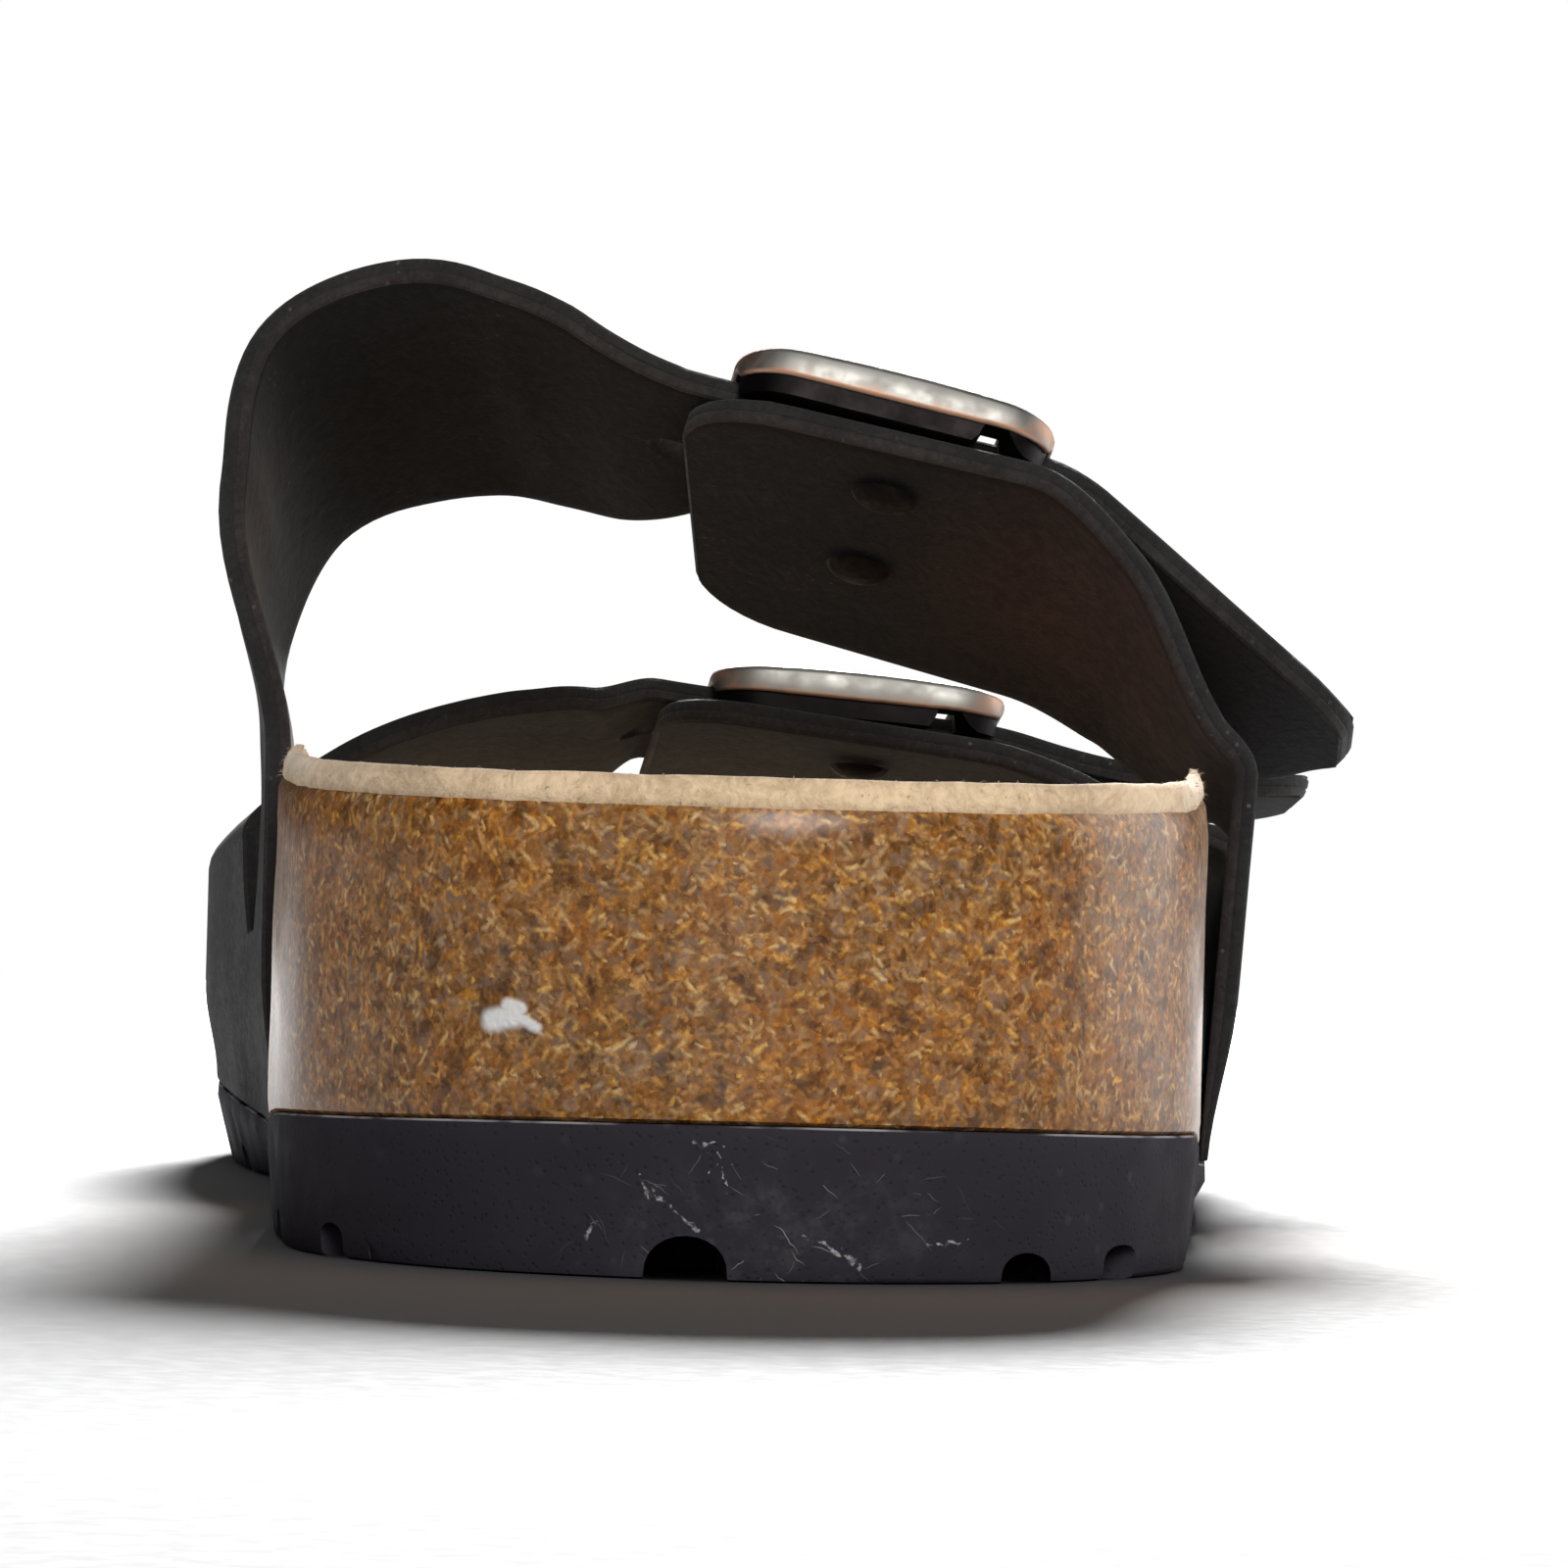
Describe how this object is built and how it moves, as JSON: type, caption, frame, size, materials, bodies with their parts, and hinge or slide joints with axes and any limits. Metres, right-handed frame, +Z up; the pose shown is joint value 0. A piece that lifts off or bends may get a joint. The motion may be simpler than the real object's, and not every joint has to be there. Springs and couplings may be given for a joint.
{
  "type": "two-strap buckle sandal",
  "caption": "Open sandal with buckled leather straps over a contoured cork footbed and a grooved foam outsole; open at toe and heel.",
  "frame": {"origin": "middle of the sandal's box at floor level", "axes": "+Y from heel to toe, +X to the outer side of this right shoe, +Z up"},
  "size_m": [0.1002, 0.26, 0.0759],
  "materials": {
    "outsole_foam": "matt dark foam rubber with pale scuffs",
    "cork": "pressed cork grain under a clear lacquer",
    "suede_lining": "tan suede with a fuzzy cut edge",
    "strap_leather": "nearly black matt leather with grey cut edges",
    "buckle_metal": "antique copper, worn at the edges"
  },
  "bodies": {
    "root": {"outsole": "outsole_foam", "cork_footbed": "cork", "insole_lining": "suede_lining", "upper_medial": "strap_leather", "upper_lateral": "strap_leather", "buckle_frame_rear": "buckle_metal", "buckle_frame_front": "buckle_metal", "buckle_prong_rear": "buckle_metal", "buckle_prong_front": "buckle_metal", "rivet_rear_1": "buckle_metal", "rivet_rear_2": "buckle_metal", "rivet_front_1": "buckle_metal", "rivet_front_2": "buckle_metal"}
  },
  "joints": []
}
